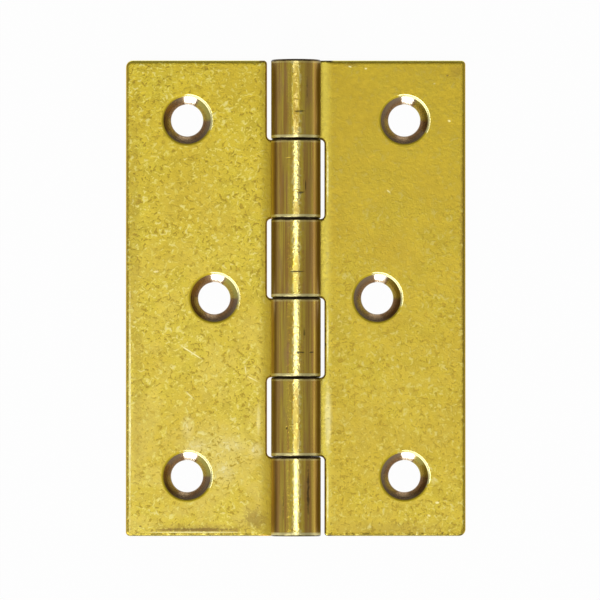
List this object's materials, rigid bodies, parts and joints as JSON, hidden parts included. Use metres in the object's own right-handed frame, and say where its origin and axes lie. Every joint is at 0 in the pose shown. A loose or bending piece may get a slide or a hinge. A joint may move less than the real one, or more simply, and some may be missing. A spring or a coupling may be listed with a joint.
{
  "type": "narrow butt hinge",
  "caption": "Narrow butt hinge of pressed brassed sheet: notched leaves with staggered countersunk screw holes, rolled into interlocking knuckles on a loose-turning pin.",
  "frame": {"origin": "on the plane of the leaves' backs, under the middle of the pin", "axes": "+Y along the pin, +X across the open leaves, +Z out of the faces that the screw heads sink into"},
  "size_m": [0.05, 0.07, 0.0073],
  "materials": {
    "left_leaf_brass": "brass plated, mottled satin",
    "right_leaf_brass": "brass plated, mottled satin",
    "pin_steel": "brass plated steel wire, dull"
  },
  "bodies": {
    "left_body": {"left_leaf": "left_leaf_brass", "hinge_pin": "pin_steel"},
    "right_body": {"right_leaf": "right_leaf_brass"}
  },
  "joints": [
    {"name": "leaf_swing", "type": "hinge", "parent": "left_body", "child": "right_body", "pos_m": [0, 0, 0.00365], "axis": [0, -1, 0], "range_deg": [-90, 180]}
  ]
}
